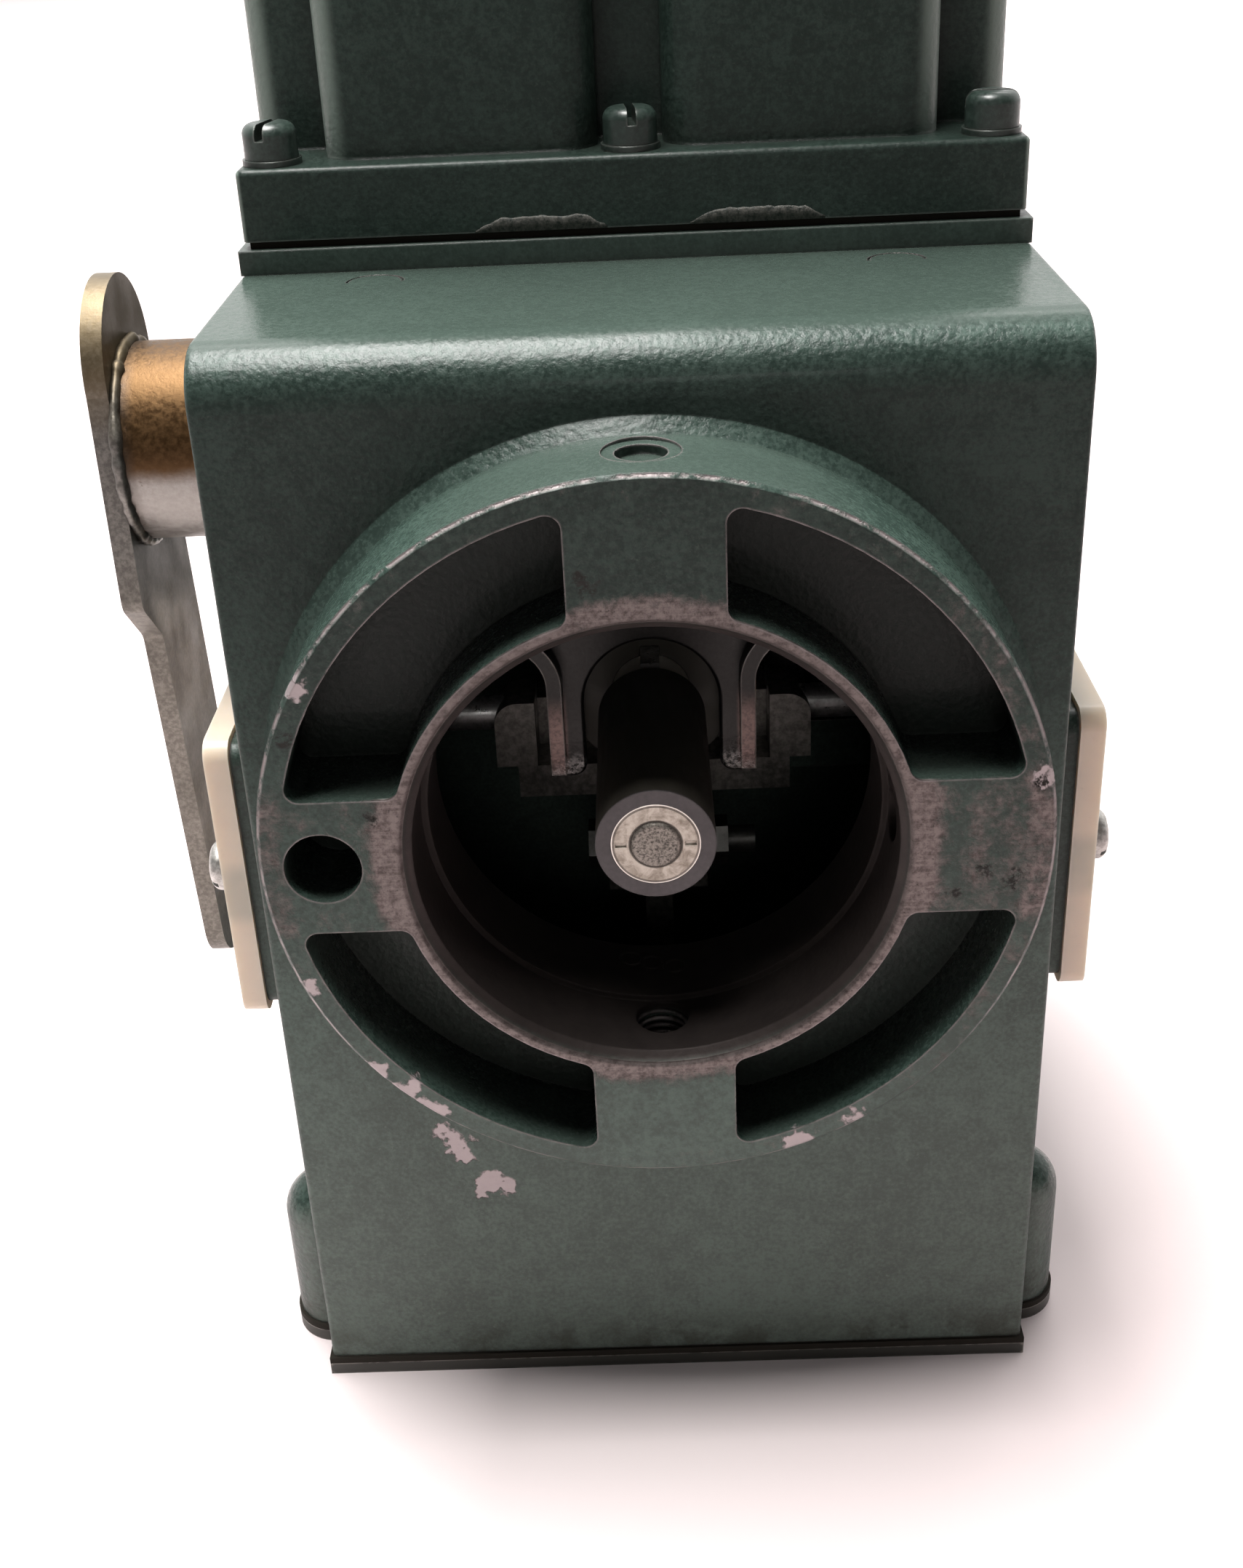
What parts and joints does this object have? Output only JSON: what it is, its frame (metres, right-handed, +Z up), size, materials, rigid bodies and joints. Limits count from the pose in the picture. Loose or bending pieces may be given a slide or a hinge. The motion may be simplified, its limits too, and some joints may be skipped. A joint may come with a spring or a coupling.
{
  "type": "worm gearbox",
  "caption": "Box-shaped worm gearbox with a spoked clamping collar round its output shaft, a side shift lever and a twin-lobed motor cover.",
  "frame": {"origin": "centre of the base plate's underside", "axes": "+X to the right seen from the collar side, +Y to the rear along the output axis, +Z up"},
  "size_m": [0.151, 0.1584, 0.292],
  "materials": {
    "housing_paint": "dark teal-green hammer enamel over die-cast aluminium, worn on edges",
    "cover_paint": "dark teal-green hammer enamel over die-cast aluminium",
    "adapter_paint": "dark green enamel",
    "screw_paint": "steel screws painted over in green",
    "base_plate_steel": "sheet steel, painted dark with a bare edge",
    "gasket_fibre": "compressed fibre gasket",
    "side_plate_plastic": "translucent ivory plastic",
    "zinc_screw": "zinc plated steel",
    "lever_zinc": "zinc plated steel with a yellow chromate tint",
    "boss_bronze": "steel with gold chromate over zinc",
    "bracket_steel": "dull steel",
    "bronze": "bearing bronze",
    "wheel_bronze": "cast bronze",
    "ground_steel": "ground steel",
    "sleeve_black": "black oxide steel",
    "shaft_end_steel": "bright steel with a cream tarnish",
    "pin_steel": "rough grey steel",
    "fork_steel": "pressed steel, polished at the tips",
    "stator_steel": "laminated steel",
    "copper_winding": "varnished copper winding",
    "capacitor_can": "drawn aluminium can",
    "fan_plastic": "moulded black plastic",
    "gland_rubber": "black rubber"
  },
  "bodies": {
    "gearbox": {"housing": "housing_paint", "base_plate": "base_plate_steel", "base_gasket": "gasket_fibre", "base_screws": "zinc_screw", "adapter_plate": "adapter_paint", "cover_gasket": "gasket_fibre", "motor_cover": "cover_paint", "cover_screws": "screw_paint", "cover_washers": "screw_paint", "side_plate_left": "side_plate_plastic", "side_plate_right": "side_plate_plastic", "side_plate_screws": "zinc_screw", "rear_bearing_cap": "cover_paint", "rear_cap_screws": "zinc_screw", "cable_gland": "gland_rubber", "bearing_bracket": "bracket_steel", "trunnion_pins": "ground_steel", "support_post": "bracket_steel", "post_rivets": "bracket_steel", "link_bolt": "zinc_screw", "link_nut": "zinc_screw", "quill_bush": "bronze", "rear_bush": "bronze", "worm_lower_bush": "bronze", "motor_bearings": "ground_steel", "lever_bush_left": "bronze", "lever_bush_right": "bronze", "motor_stator": "stator_steel", "motor_coils": "copper_winding", "motor_end_shields": "capacitor_can", "motor_studs": "zinc_screw", "capacitor": "capacitor_can", "capacitor_clamp": "zinc_screw"},
    "worm_rotor": {"worm": "ground_steel", "motor_rotor": "stator_steel", "motor_fan": "fan_plastic"},
    "wheel": {"worm_wheel": "wheel_bronze", "wheel_quill": "ground_steel"},
    "output": {"output_shaft": "shaft_end_steel", "output_sleeve": "sleeve_black", "output_end_pin": "pin_steel", "clutch_key": "ground_steel", "snap_ring": "sleeve_black"},
    "clutch": {"clutch_collar": "sleeve_black"},
    "shift_lever": {"lever": "lever_zinc", "lever_boss": "boss_bronze", "cross_shaft": "ground_steel", "fork": "fork_steel", "fork_shoes": "bronze", "fork_roll_pin": "ground_steel"}
  },
  "joints": [
    {"name": "worm_spin", "type": "hinge", "parent": "gearbox", "child": "worm_rotor", "pos_m": [0.026, 0.02365, 0.15], "axis": [0, 0, 1], "continuous": true},
    {"name": "wheel_spin", "type": "hinge", "parent": "gearbox", "child": "wheel", "pos_m": [0, 0.02365, 0.1136], "axis": [0, 1, 0], "continuous": true},
    {"name": "output_spin", "type": "hinge", "parent": "gearbox", "child": "output", "pos_m": [0, 0, 0.1136], "axis": [0, 1, 0], "continuous": true},
    {"name": "lever_swing", "type": "hinge", "parent": "gearbox", "child": "shift_lever", "pos_m": [0, -0.029, 0.159], "axis": [-1, 0, 0], "range_deg": [0, 6]},
    {"name": "clutch_slide", "type": "slide", "parent": "output", "child": "clutch", "axis": [0, -1, 0], "range_m": [0, 0.0048]}
  ],
  "couplings": [
    {"joint": "wheel_spin", "follows": "worm_spin", "ratio": 0.038462},
    {"joint": "output_spin", "follows": "worm_spin", "ratio": 0.038462},
    {"joint": "clutch_slide", "follows": "lever_swing", "m_per_rad": 0.0454}
  ]
}
